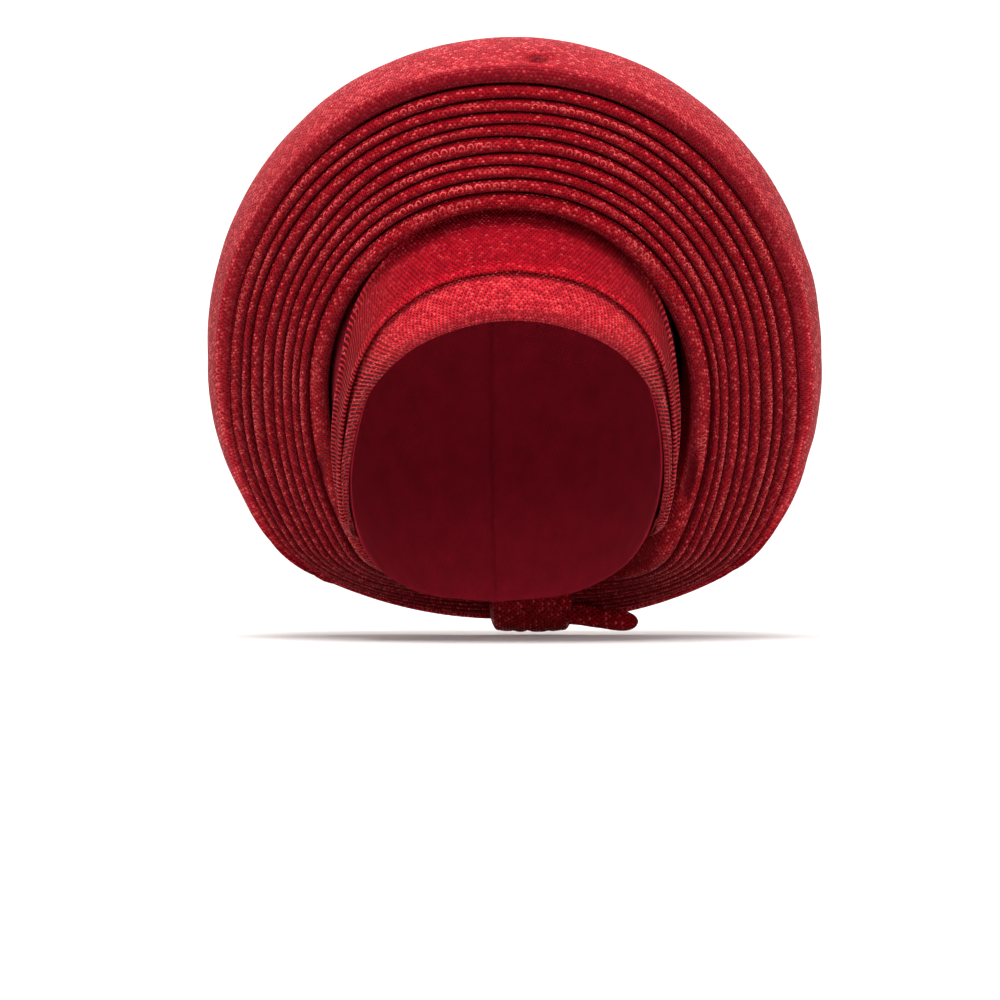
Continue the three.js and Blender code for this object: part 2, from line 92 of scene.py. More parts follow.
# The three lines of the brow bands, by degrees round the head from the brow to the hem's own point. The
# seam's and the top edge's points turn further round. Each drop is a share of the way down to the nape.
BROW_ROWS = table(
    "angle hem seam_turn seam top_turn top",
    (0, 0, 0, 0, 0, 0),
    (7, .004, 11.5, .01, 15, .003),
    (14, .017, 23.3, .034, 27, .015),
    (22, .042, 34.5, .083, 40, .057),
    (32, .087, 45, .157, 51, .123),
    (42, .157, 53.2, .255, 60, .23),
    (53, .265, 60.2, .37, 66, .389),
    (62, .406, 67.2, .501, 73.5, .512),
    (70, .52, 74, .606, 80, .599),
    (81, .657, 84, .725, 89, .698),
    (95, .797, 96, .826, 98.5, .79),
    (112, .89, 112, .892, 112, .85),
    (140, .97, 140, .96, 140, .95),
    (180, 1, 180, 1, 180, 1),
)


def mix(a, b, share):
    return a + (b - a) * share


def ease(low, high, value):
    share = min(1, max(0, (value - low) / (high - low)))
    return share * share * (3 - 2 * share)


def spaced(first, last, count):
    return [mix(first, last, i / (count - 1)) for i in range(count)]


def column(rows, angle, name):
    """A smooth curve through one column of a table, the same on both sides of 0 degrees."""
    at = abs(angle)
    i = 0
    while i < len(rows) - 2 and at > rows[i + 1]["angle"]:
        i += 1
    a, b = rows[i], rows[i + 1]
    before = rows[i - 1] if i else dict(rows[1], angle=-rows[1]["angle"])
    after = rows[i + 2] if i + 2 < len(rows) else b
    span = b["angle"] - a["angle"]
    slope_a = (b[name] - before[name]) / (b["angle"] - before["angle"]) * span
    slope_b = (after[name] - a[name]) / (after["angle"] - a["angle"]) * span
    t = (at - a["angle"]) / span
    t2, t3 = t * t, t * t * t
    return ((2 * t3 - 3 * t2 + 1) * a[name] + (t3 - 2 * t2 + t) * slope_a
            + (3 * t2 - 2 * t3) * b[name] + (t3 - t2) * slope_b)


def head_point(turn, drop, grow):
    """A point of the head form at a turn from the brow and a drop below the crown, grown outwards."""
    rise = CROWN_HEIGHT - drop
    height = (CROWN_HEIGHT if rise > 0 else HEAD_BELOW) + grow
    level = math.sqrt(max(0, 1 - (rise / height) ** 2))
    return Vector((
        (HEAD_BREADTH / 2 + grow) * level * math.sin(math.radians(turn)),
        -(HEAD_LENGTH / 2 + grow) * level * math.cos(math.radians(turn)),
        -drop,
    ))


def waver(seed, x, y=0):
    """A smooth random value from -1 to 1 that is the same in each run."""
    return noise.noise(Vector((x, y, seed * 7.31)))


def normals_of(grid, behind):
    """The outward normal at each point of a grid of points; behind is a point on its inner side."""
    last, end = len(grid) - 1, len(grid[0]) - 1
    normals = []
    total = 0
    for i, station in enumerate(grid):
        row = []
        for j, point in enumerate(station):
            across = grid[min(last, i + 1)][j] - grid[max(0, i - 1)][j]
            along = station[min(j + 1, end)] - station[max(j - 1, 0)]
            row.append(across.cross(along).normalized())
            total += row[-1].dot(point - behind)
        normals.append(row)
    return normals if total > 0 else [[-normal for normal in row] for row in normals]


def lengths_down(grid, lanes):
    """How far each point lies from the middle station, measured along its lane."""
    middle = len(grid) // 2
    down = [[0.0] * len(lanes) for _ in grid]
    for lane in set(lanes):
        for i in range(middle + 1, len(grid)):
            down[i][lane] = down[i - 1][lane] + (grid[i][lane] - grid[i - 1][lane]).length
        for i in range(middle - 1, -1, -1):
            down[i][lane] = down[i + 1][lane] - (grid[i][lane] - grid[i + 1][lane]).length
    return [[row[lane] for lane in lanes] for row in down]


def sheet_faces(count, width):
    """The faces of a closed sheet. Each station's points run up its outer side, over one edge point, back
    down its inner side and over the other edge point."""
    turn = 2 * width + 2
    faces = []
    for i in range(count - 1):
        here, there = i * turn, (i + 1) * turn
        for j in range(turn):
            k = (j + 1) % turn
            faces.append((here + j, there + j, there + k, here + k))
    for start in (0, (count - 1) * turn):
        last = start + 2 * width
        closing = [(start + j, start + j + 1, last - 1 - j, last - j) for j in range(width - 1)]
        closing += [(start + width - 1, start + width, start + width + 1), (last, last + 1, start)]
        faces += closing if start == 0 else [face[::-1] for face in closing]
    return faces


def cloth_object(name, material, points, faces, places, pulled, painted_light_values):
    """Cloth in the scene, with what its material reads: the place of each face's corners on the flat
    cloth, how each point is pulled, and the roll that sets each point's painted shade and painted glints."""
    mesh = bpy.data.meshes.new(name)
    mesh.from_pydata([p * 0.001 for p in points], [], faces)
    flat = mesh.uv_layers.new(name="cloth")
    flat.data.foreach_set("uv", [value * 0.001 for place in places for value in place])
    mesh.attributes.new("ribs", "FLOAT", "POINT").data.foreach_set("value", pulled)
    mesh.attributes.new("roll", "FLOAT", "POINT").data.foreach_set("value", painted_light_values)
    mesh.polygons.foreach_set("use_smooth", [True] * len(mesh.polygons))
    mesh.materials.append(material)
    mesh.update()
    mesh.validate()
    return in_scene(name, mesh)


FLAT_CLOTH = 0.42  # the roll of cloth that lies in no fold, with next to no painted shade and no painted rings


def cloth(name, material, grid, wall, behind, lanes=None, ribs=None, painted_light_rolls=None, layout=None):
    """A closed sheet of cloth. grid holds its outer face, as stations of points; behind is a point on its
    inner side. A point's place on the flat cloth is its length along the station, then from station to
    station. lanes gives, for each point of a station, the point whose length that second measure follows;
    layout gives every place itself. ribs(i, j) is how far the cloth is pulled into ribs, from 0 to 1, and
    rolls(i, j) is the place on a round fold, which sets its painted shade and painted ring glints: 0 on
    its crest, and -1 and 1 where it turns into the grooves.
    """
    count, width = len(grid), len(grid[0])
    normals = normals_of(grid, behind)
    down = lengths_down(grid, lanes or [width // 2] * width)
    points, places, pulled, painted_light_values = [], [], [], []
    for i, station in enumerate(grid):
        runs = [0]
        for a, b in zip(station, station[1:]):
            runs.append(runs[-1] + (b - a).length)
        inner = [p - n * wall for p, n in zip(station, normals[i])]
        half = [(a + b) / 2 for a, b in zip(station, inner)]
        first = half[0] + (half[0] - half[1]).normalized() * wall * 0.45
        last = half[-1] + (half[-1] - half[-2]).normalized() * wall * 0.45
        points += station + [last] + inner[::-1] + [first]
        place = layout[i] if layout else list(zip(runs, down[i]))
        pull = [ribs(i, j) if ribs else 0 for j in range(width)]
        roll = [painted_light_rolls(i, j) if painted_light_rolls else FLAT_CLOTH for j in range(width)]
        for values, row in ((places, place), (pulled, pull), (painted_light_values, roll)):
            values.extend(row + [row[-1]] + row[::-1] + [row[0]])

    faces = sheet_faces(count, width)
    p = [points[v] for v in faces[(count // 2) * (2 * width + 2) + width // 2]]
    if (p[2] - p[0]).cross(p[3] - p[1]).dot(normals[count // 2][width // 2]) < 0:
        faces = [face[::-1] for face in faces]
    corners = [places[v] for face in faces for v in face]
    return cloth_object(name, material, points, faces, corners, pulled, painted_light_values)


def linear(code):
    """An sRGB hex value as the linear colour that a shader takes."""
    parts = [int(code[i:i + 2], 16) / 255 for i in (0, 2, 4)]
    return [c / 12.92 if c <= 0.04045 else ((c + 0.055) / 1.055) ** 2.4 for c in parts] + [1]


def new_material(name):
    material = bpy.data.materials.new(name)
    material.use_nodes = True
    material.node_tree.nodes.clear()
    return material


def node(material, kind, *feeds, out=0, **settings):
    """Adds a node and returns one of its outputs. A kind in capitals is a step of arithmetic. feeds go to
    its inputs in order, as sockets or values. settings are its properties, or feeds by an input's name or
    by its number after a low line."""
    if kind.isupper():
        kind, settings["operation"] = "Math", kind
    made = material.node_tree.nodes.new("ShaderNode" + kind)
    for key, value in [*settings.items(), *enumerate(feeds)]:
        if isinstance(key, str) and hasattr(made, key):
            setattr(made, key, value)
            continue
        if isinstance(key, str):
            key = int(key[1:]) if key[0] == "_" else key.replace("_", " ")
        if isinstance(value, bpy.types.NodeSocket):
            material.node_tree.links.new(value, made.inputs[key])
        else:
            made.inputs[key].default_value = value
    return made.outputs[out] if made.outputs else None


# Cotton jersey, knitted: matt, with fine upright stitches in columns that just show.
JERSEY_RED = "ac1b30"
JERSEY_DARK = "5e0a16"
JERSEY_WALE = 0.0016  # a real column is about 1 mm wide and wouldn't show
JERSEY_MOTTLE = 90  # faint blotches of the dye, to the metre

jersey = new_material("cotton_jersey")
add = partial(node, jersey)
place = add("UVMap", uv_map="cloth")
columns, rows = (
    add("SINE", add("MULTIPLY", add("SeparateXYZ", place, out=axis), 2 * math.pi / JERSEY_WALE))
    for axis in ("Y", "X")
)
stitch = add("MULTIPLY_ADD", add("MULTIPLY", columns, rows), 0.5, 0.5)
mottle = add("TexNoise", place, Scale=JERSEY_MOTTLE, Detail=3)
shade = add("MULTIPLY_ADD", stitch, 0.5, add("MULTIPLY", mottle, 0.5))
tone = add("Mix", shade, data_type="RGBA", _6=linear(JERSEY_DARK), _7=linear(JERSEY_RED), out=2)
relief = add("Bump", Height=stitch, Strength=0.5, Distance=0.0003)
surface = add("BsdfPrincipled", Base_Color=tone, Normal=relief, Roughness=0.95, Specular_IOR_Level=0.1)
add("OutputMaterial", surface)


def hem_drop(turn):
    return mix(BROW_DROP, NAPE_DROP, column(BROW_ROWS, turn, "hem"))


def cap_line(turn):
    """From the hem up to the crown, with a dent where the hem is stitched down."""
    drop = hem_drop(turn) - CAP_INSET
    below = CROWN_HEIGHT - drop
    start = math.asin(below / (CROWN_HEIGHT if below > 0 else HEAD_BELOW))
    line = []
    for row in range(CAP_ROWS):
        latitude = mix(start, CAP_TOP, (row / (CAP_ROWS - 1)) ** 1.15)
        height = CROWN_HEIGHT if latitude > 0 else HEAD_BELOW
        up = (latitude - start) * HEAD_LENGTH / 2
        dent = HEM_DENT * math.exp(-((up - CAP_HEM) / 0.8) ** 2)
        line.append(head_point(turn, CROWN_HEIGHT - height * math.sin(latitude), CAP_WALL * 0.9 - dent))
    return line


cap_grid = [cap_line(turn) for turn in spaced(-180, 180, CAP_STATIONS)]
cap = cloth("inner_cap_cloth", jersey, cap_grid, CAP_WALL * 0.85, behind=HEAD_MIDDLE)
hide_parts("inner_cap")
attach(cap, "root")

# Brow bands: two lengths of the knit, each folded double and drawn round the brow to the temples. The
# upper one has a rolled lower edge that lies on the lower one, and both tuck under the fan at the sides.
BAND_WALL = 1.4
BEDDING = 0.8  # from one broad piece to the next
LOWER_BAND_WIDTH = 20
UPPER_BAND_WIDTH = 28.8
BAND_END = 100
TUCK_START = 80  # degrees from the brow to where the bands start to turn back under the fan
TUCK_TURN = 8
TUCK_DROP = 10
TUCK_DEPTH = 0.8
CREASE_HEIGHT = 0.28
BAND_WAVER = 0.3
BAND_STRAY = 0.018  # how far a band strays from its line, as a share of its width
BAND_SHADE = 0.68  # the roll of the cloth where a band lies in full painted shade
BAND_STATIONS = 230
BAND_TOP = CAP_WALL + BEDDING + BAND_WALL

# The bands' sections, from the lower edge up: a share of the band's width, and the height there above
# what the band lies on. The lower band's hem is a thin roll with its underside in painted shade.
SECTION_WIDTH = 20  # at which both sections are smoothed
LOWER_BAND_SECTION = [
    (.12, -.9), (.02, -.75), (-.045, -.1), (-.03, .75), (.05, 1.35), (.13, 1.3), (.19, 1.15), (.3, 1.5),
    (.5, 1.6), (.75, 1.05), (.95, .25), (1.1, .02), (1.24, 0),
]
UPPER_BAND_SECTION = [
    (.14, 1.0), (.03, 1.05), (-.035, 1.75), (-.025, 2.75), (.02, 3.2), (.07, 2.85), (.105, 2.0),
    (.14, 1.2), (.22, .85), (.4, .35), (.6, 0), (.82, 0), (.865, .5), (.895, 1.5), (.93, 1.5),
    (.965, .6), (1.02, -.2),
]


def smooth_line(points, count):
    """Evenly spaced samples of a smooth curve that passes through points."""
    points = [Vector(p) for p in points]
    fine = []
    ends = [points[0] * 2 - points[1]] + points + [points[-1] * 2 - points[-2]]
    for k in range(1, len(ends) - 2):
        p0, p1, p2, p3 = ends[k - 1:k + 3]
        t0, t1, t2 = (max(1e-6, (a - b).length ** 0.5) for a, b in ((p1, p0), (p2, p1), (p3, p2)))
        m1 = ((p1 - p0) / t0 - (p2 - p0) / (t0 + t1) + (p2 - p1) / t1) * t1
        m2 = ((p2 - p1) / t1 - (p3 - p1) / (t1 + t2) + (p3 - p2) / t2) * t1
        for s in range(8):
            t = s / 8
            fine.append(p1 * (2 * t ** 3 - 3 * t * t + 1) + m1 * (t ** 3 - 2 * t * t + t)
                        + p2 * (3 * t * t - 2 * t ** 3) + m2 * (t ** 3 - t * t))
    fine.append(points[-1])
    runs = [0]
    for a, b in zip(fine, fine[1:]):
        runs.append(runs[-1] + (b - a).length)
    line = []
    k = 0
    for run in spaced(0, runs[-1], count):
        while k < len(runs) - 2 and runs[k + 1] < run:
            k += 1
        share = (run - runs[k]) / max(1e-9, runs[k + 1] - runs[k])
        line.append(fine[k].lerp(fine[k + 1], min(1, share)))
    return line


def brow_lines(angle):
    """The turn and the drop of the three lines that the bands run between."""
    side = -1 if angle < 0 else 1
    seam_drop = BROW_DROP - LOWER_BAND_WIDTH

    def line(drop, name):
        return (side * column(BROW_ROWS, angle, name + "_turn"),
                mix(drop, NAPE_DROP, column(BROW_ROWS, angle, name)))

    return {
        "hem": (angle, hem_drop(angle)),
        "seam": line(seam_drop, "seam"),
        "top": line(seam_drop - UPPER_BAND_WIDTH, "top"),
    }


def brow_band(name, knit, low, high, section, count, seed, shade):
    """One band. Its height wavers along it, soft creases run along it at the temples, and its ends turn
    back to tuck in under the fan. shade gives how deep in painted shade each share of its width is."""
    profile = smooth_line([(across * SECTION_WIDTH, rise, 0) for across, rise in section], count)
    grid = []
    for angle in spaced(-BAND_END, BAND_END, BAND_STATIONS):
        lines = brow_lines(angle)
        strained = ease(25, 60, abs(angle))
        tucked = ease(TUCK_START, BAND_END, abs(angle))
        back = math.copysign(TUCK_TURN * tucked, angle)
        station = []
        for point in profile:
            across = mix(point.x / SECTION_WIDTH, 0.5, 0.3 * tucked)
            rise = point.y * (1 - 0.7 * tucked)
            crease = strained * CREASE_HEIGHT * math.sin(across * 13 + waver(seed, angle * 0.02) * 2)
            soft = BAND_WAVER * waver(seed + 1, angle * 0.06, across * 2)
            at = across + BAND_STRAY * waver(seed + 2, angle * 0.035)
            free = ease(0.02, 0.3, across) * (1 - ease(0.75, 0.95, across))
            station.append(head_point(
                mix(lines[low][0], lines[high][0], at) + back,
                mix(lines[low][1], lines[high][1], at) - TUCK_DROP * tucked,
                BAND_TOP + rise + (crease + soft) * free - TUCK_DEPTH * tucked,
            ))
        grid.append(station)

    def strain(i, j):
        return ease(22, 48, abs(mix(-BAND_END, BAND_END, i / (BAND_STATIONS - 1))))

    # Painted shade across the band, given as the roll that its material reads.
    def roll(i, j):
        return mix(FLAT_CLOTH, BAND_SHADE, shade(profile[j].x / SECTION_WIDTH))

    return cloth(name, knit, grid, BAND_WALL * 0.55, behind=HEAD_MIDDLE, ribs=strain, painted_light_rolls=roll)


# Metallic knit: polyester with a flat metallic thread, warp knitted in rows of small arched loops with
# holes between them. The thread's scattered pinkish glints are painted into its colour, and the shader
# makes them more metallic too, and the holes show dark. Where the cloth is strained its loops close up
# into fine ribs across it, whose crests get a painted highlight, and deep in a fold painted shade stands
# for the little light that gets there.
LOOP_WIDTH = 0.0018  # the real size; on the pleats and the rim the loops are drawn a little coarser
LOOP_ROW = 0.0012
LOOP_STRAY = 0.00035  # how far the loops stray from their rows
LOOP_DRIFT = 160  # how quickly that changes, to the metre
ARCH_RADIUS = 0.72  # of a loop's arch, in half loop widths
RIB_SPACING = 0.0021
RIB_SHARPNESS = 6
RING_SPACING = 0.0036  # of the rings of thicker thread that show in rows on some crests, drawn only as painted glints
RING_RADIUS = 0.32  # in ring spacings
RING_PATCH = 17  # to the metre, so that the rings show in stretches about 60 mm long
GLINT_PATCH = 38  # to the metre, so that the painted glints gather in patches about 25 mm wide
FIBRE = 900  # the thread's own unevenness, to the metre
KNIT_RELIEF = 0.0005
KNIT_HOLE = "3a0108"
# Painted highlight: the pinker colour of the ribs' lit crests where the knit is pulled.
PAINTED_RIB_HIGHLIGHT = "dd3038"
# Painted glint: the pink that the thread's lit loops and rings are painted with.
PAINTED_GLINT_PINK = "ff7a76"
KNIT_SHEEN = "ff5a60"
# Painted shade: the colour that stands in for the little light deep in a fold's groove.
PAINTED_SHADE_RED = "5a0410"
PAINTED_SHADE_DEPTH = 0.82  # how much of the painted shade colour the grooves take on


def metallic_knit(name, base, hole=KNIT_HOLE, width=LOOP_WIDTH, row=LOOP_ROW, dull=0.5, sheen=0.01):
    """The knit in one of its tones, with loops of one size. dull is the share of them without a painted
    glint.
    """
    knit = new_material(name)
    add = partial(node, knit)
    rgba = dict(data_type="RGBA", out=2)

    # Where each point lies in its loop. Every other row is set off by half a loop.
    place = add("UVMap", uv_map="cloth")
    drift = add("TexNoise", place, Scale=LOOP_DRIFT, Detail=2, out="Color")
    strayed = add("MixRGB", LOOP_STRAY, place, drift, blend_type="LINEAR_LIGHT")
    along = add("SeparateXYZ", strayed, out="Y")
    rows = add("DIVIDE", add("SeparateXYZ", strayed, out="X"), row)
    number = add("FLOOR", rows)
    set_off = add("MULTIPLY", add("FLOORED_MODULO", number, 2), 0.5)
    loops = add("ADD", add("DIVIDE", along, width), set_off)
    x = add("SUBTRACT", add("FRACT", loops), 0.5)
    y = add("SUBTRACT", add("FRACT", rows), 0.3)

    # The thread rises in an arch round each hole, or in a rib where the cloth is pulled.
    from_hole = add("CombineXYZ", add("MULTIPLY", x, 2), add("MULTIPLY", y, 1.35))
    reach = add("VectorMath", from_hole, operation="LENGTH", out="Value")
    off_arch = add("ABSOLUTE", add("SUBTRACT", reach, ARCH_RADIUS))
    arch = add("SUBTRACT", 1, add("MULTIPLY", off_arch, 2.1), use_clamp=True)
    wave = add("SINE", add("MULTIPLY", along, math.pi / RIB_SPACING))
    rib = add("POWER", add("ABSOLUTE", wave), RIB_SHARPNESS)
    pulled = add("Attribute", attribute_name="ribs", out="Fac")
    height = add("Mix", pulled, _2=arch, _3=rib)

    # Painted glints: some loops catch the light at their top, and more of them in some patches than in
    # others. The same glints make the thread more metallic and less rough in the shader.
    loop = add("CombineXYZ", add("FLOOR", loops), number)
    chance = add("TexWhiteNoise", loop, noise_dimensions="3D")
    patch = add("TexNoise", place, Scale=GLINT_PATCH, Detail=1)
    rare = add("MULTIPLY_ADD", patch, -0.25, dull + 0.125)
    from_top = add("CombineXYZ", add("MULTIPLY", x, 2.6), add("MULTIPLY_ADD", y, 2.2, -0.88))
    off_top = add("VectorMath", from_top, from_top, operation="DOT_PRODUCT", out="Value")
    top = add("SUBTRACT", 1, off_top, use_clamp=True)
    fibre = add("TexNoise", place, Scale=FIBRE, Detail=2, Roughness=0.7)
    lively = add("MULTIPLY", add("SUBTRACT", chance, rare), 3, use_clamp=True)
    broken = add("MULTIPLY_ADD", fibre, 2.4, -0.5, use_clamp=True)
    metal_and_painted_glint = add("MULTIPLY", add("MULTIPLY", add("POWER", lively, 1.2), top), broken)

    # The yarn's colour over the dark of the holes, pinker where it is pulled into ribs: a painted highlight
    # on the ribs' crests. No two loops and no two stretches of rib are alike.
    loops_differ = add("MULTIPLY_ADD", chance, 0.5, add("MULTIPLY_ADD", fibre, 1.5, -0.25))
    ribs_differ = add("MULTIPLY_ADD", fibre, 0.9, 0.45)
    uneven = add("Mix", pulled, _2=loops_differ, _3=ribs_differ)
    seen_through = add("MULTIPLY_ADD", pulled, -0.17, 0.2)
    tone = add("MULTIPLY", add("MULTIPLY_ADD", height, 1.15, seen_through), uneven, use_clamp=True)
    yarn = add("Mix", pulled, _6=linear(base), _7=linear(PAINTED_RIB_HIGHLIGHT), **rgba)
    colour = add("Mix", tone, _6=linear(hole), _7=yarn, **rgba)

    # Painted glints in rings, where thicker thread lies along some stretches of a fold's crest: only on the
    # crest's upper half, which faces the light above.
    roll = add("Attribute", attribute_name="roll", out="Fac")
    ring_x = add("SUBTRACT", add("FRACT", add("DIVIDE", along, RING_SPACING)), 0.5)
    ring_size = add("VectorMath", add("CombineXYZ", ring_x, roll), operation="LENGTH", out="Value")
    off_ring = add("ABSOLUTE", add("SUBTRACT", ring_size, RING_RADIUS))
    ring = add("SUBTRACT", 1, add("MULTIPLY", off_ring, 11), use_clamp=True)
    ring_patch = add("TexNoise", place, Scale=RING_PATCH, Detail=1)
    stretch = add("MULTIPLY_ADD", ring_patch, 9, -4.6, use_clamp=True)
    upper_half = add("MULTIPLY_ADD", roll, 1.6, 0.5, use_clamp=True)
    painted_ring_glint = add("MULTIPLY", add("MULTIPLY", ring, stretch), upper_half)
    painted_glints = add("MAXIMUM", add("MULTIPLY", metal_and_painted_glint, 0.85), add("MULTIPLY", painted_ring_glint, 0.8))
    lit = add("Mix", painted_glints, _6=colour, _7=linear(PAINTED_GLINT_PINK), **rgba)

    # Painted shade: away from its crest a fold darkens towards its groove. The light comes from above, so
    # that the middle of the part left unshaded lies a little outwards of the crest.
    from_lit = add("ABSOLUTE", add("SUBTRACT", roll, 0.2))
    shade = add("MapRange", from_lit, 0.1, 1.0, 0.0, PAINTED_SHADE_DEPTH, interpolation_type="SMOOTHSTEP")
    with_painted_shade = add("Mix", shade, _6=lit, _7=linear(PAINTED_SHADE_RED), **rgba)

    relief = add("Bump", Height=height, Strength=1.0, Distance=KNIT_RELIEF)
    shader = add(
        "BsdfPrincipled", Base_Color=with_painted_shade, Normal=relief, IOR=1.5, Specular_IOR_Level=0.06,
        Metallic=add("MULTIPLY_ADD", metal_and_painted_glint, 0.5, 0.08),
        Roughness=add("MULTIPLY_ADD", metal_and_painted_glint, -0.25, 0.52),
        Sheen_Weight=sheen, Sheen_Roughness=0.35, Sheen_Tint=linear(KNIT_SHEEN),
    )
    add("OutputMaterial", shader)
    return knit


# Lit and shaded copies of the one knit: the lower band's is brighter with more sheen, a painted light, and
# the upper band's has fewer glints, a painted shade under the fan.
painted_lit_lower_knit = metallic_knit("metallic_knit_lower_band_painted_lit", base="f62c3c", sheen=0.11)
painted_shade_upper_knit = metallic_knit("metallic_knit_upper_band_painted_shade", base="e01028", dull=0.72)


def lower_band_painted_shade(across):
    """The lower band's painted shade: under its hem's roll, and at its upper edge under the other band's
    roll.
    """
    return 1.5 * (1 - ease(0.12, 0.26, across)) + 1.2 * ease(0.74, 0.96, across)


def upper_band_painted_shade(across):
    """The upper band's painted shade: between its two rolled edges, and deepest where it goes under the fan.
    """
    return ease(0.04, 0.13, across) * (1 - ease(0.86, 0.89, across)) + 1.5 * ease(0.93, 0.97, across)


lower_band = brow_band(
    "lower_band_cloth", painted_lit_lower_knit, "hem", "seam", LOWER_BAND_SECTION, 40, seed=1, shade=lower_band_painted_shade,
)
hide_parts("brow_band_lower")
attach(lower_band, "root")

upper_band = brow_band(
    "upper_band_cloth", painted_shade_upper_knit, "seam", "top", UPPER_BAND_SECTION, 52, seed=5, shade=upper_band_painted_shade,
)
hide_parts("brow_band_upper")
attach(upper_band, "root")

# Pleated fan: one long strip of the knit, folded forwards and back into nine round pleats that lie wall
# against wall. It stands out from the cap like a collar and its ends are gathered down to the nape.
CLOTH_WALL = 1
PLEATS = 9
PLEAT_DEPTH = 19
GROOVE_GAP = 0.2
GROOVE_WANDER = 0.16  # in shares of a pleat
ROOT_DEPTH = 1.6  # from the fan's face to where it starts on the cap, in pleat depths
FAN_TURN = math.radians(-3)
FAN_DRIFT = 4.8  # of its lower end, to the wearer's left
BRIDGE_RISE = 4.1  # of the first fold over the bands that it passes
BAND_SHOWS = (50, 75)  # the bands go under the fan between these angles
TAIL_START = 125
RING_END = 168
KNOT_LENGTH = 36
KNOT_ASIDE = 12
KNOT_BACK = 84
KNOT_DROP = 178
KNOT_TILT = math.radians(45)
KNOT_TUCK = 5  # how far the gathered ends run on inside the knot
FAN_STATIONS = 260
WALL_POINTS = 11  # up the first fold's inner wall
CREST_POINTS = 11
SIDE_POINTS = 3  # down each side of a pleat
PLEAT_POINTS = CREST_POINTS + 2 * SIDE_POINTS
FIRST_FOLD = WALL_POINTS + CREST_POINTS + SIDE_POINTS
FACE_STEPS = 4  # from the fan's inner ring to its outer one
ROLL_SHARE = 0.96  # of a pleat's width is its round crest, and the rest falls away into the grooves

# The rings that the outside runs through, from the fan's inner edge to the rim's hem. lean is how far a
# ring falls back for each unit that it comes down. In its lower half stretch lengthens it and full
# widens it. aside moves it to the wearer's left, and knot_along and knot_over say where it meets the knot.
RINGS = dict(zip(("inner", "outer", "widest", "hem"), table(
    "radius centre front lean stretch full aside knot_along knot_over",
    (75, 95.5, 77, .77, 1.4, 0, 1.4, -15, -.7),
    (126.8, 76, 91, .74, 1, .055, 3.7, 12, -.7),
    (126.8, 76, 51, .53, 1, .055, 3.7, 12.5, 3.5),
    (121.8, 76, 3, .47, 1, .055, 3.7, 8, 9.5),
)))

# The fan's section, by degrees from the top. first and last are the shares of the fan's width where the
# first and the last groove lie, and depth is a share of the pleat depth.
FAN_ROWS = table(
    "angle first last depth",
    (0, .098, .686, 1),
    (45, .13, .73, .95),
    (60, .14, .75, .9),
    (75, .15, .78, .85),
    (90, .16, .812, .8),
    (105, .17, .86, .7),
    (127, .16, .9, .55),
    (168, .13, .86, .27),
)

# How far each groove, from the first to the last, lies inwards of even spacing, in shares of a pleat, at
# the wearer's right, the top and the wearer's left.
GROOVE_ROWS = table(
    "right top left",
    (0, 0, 0),
    (.12, -.04, .39),
    (.3, -.07, .51),
    (.37, .04, .36),
    (.5, -.15, .57),
    (.37, -.11, .52),
    (.01, -.07, .38),
    (.24, .04, .49),
    (0, 0, 0),
)


def worn(point):
    """Turns a point from the fan's own middle line to where the fan sits on the head."""
    cos, sin = math.cos(FAN_TURN), math.sin(FAN_TURN)
    return Vector((point.x * cos - point.y * sin, point.x * sin + point.y * cos, point.z))


def knot_point(aside, along, over):
    """A point of the knot's own section: along its breadth and over it, aside from its middle."""
    cos, sin = math.cos(KNOT_TILT), math.sin(KNOT_TILT)
    return Vector((KNOT_ASIDE + aside, KNOT_BACK + along * cos + over * sin,
                   -KNOT_DROP - along * sin + over * cos))


def on_circle(ring, turn):
    cos, sin = math.cos(math.radians(turn)), math.sin(math.radians(turn))
    fall = ring["radius"] * (1 if cos > 0 else ring["stretch"]) * cos
    return Vector((
        ring["radius"] * sin * (1 + ring["full"] * max(0, -cos)) + ring["aside"]
        + FAN_DRIFT * ((1 - cos) / 2) ** 2,
        -ring["front"] + (ring["radius"] - fall) * ring["lean"], fall - ring["centre"],
    ))


def curve_point(p0, p1, p2, p3, t):
    """A point of a curve that leaves p0 towards p1 and comes to p3 from p2."""
    s = 1 - t
    return p0 * s ** 3 + p1 * 3 * s * s * t + p2 * 3 * s * t * t + p3 * t ** 3


def ring_point(ring, angle):
    """A point of a ring: round the top and sides on a circle, then along a tail to the knot."""
    if abs(angle) <= TAIL_START:
        return worn(on_circle(ring, angle))
    side = -1 if angle < 0 else 1
    start = on_circle(ring, side * TAIL_START)
    heading = (start - on_circle(ring, side * (TAIL_START - 1))).normalized()
    end = knot_point(side * (KNOT_LENGTH / 2 - KNOT_TUCK), ring["knot_along"], ring["knot_over"])
    reach = (start - end).length
    return worn(curve_point(
        start, start + heading * reach * 0.28, end + Vector((side * reach * 0.34, 0, 0)), end,
        (abs(angle) - TAIL_START) / (RING_END - TAIL_START),
    ))


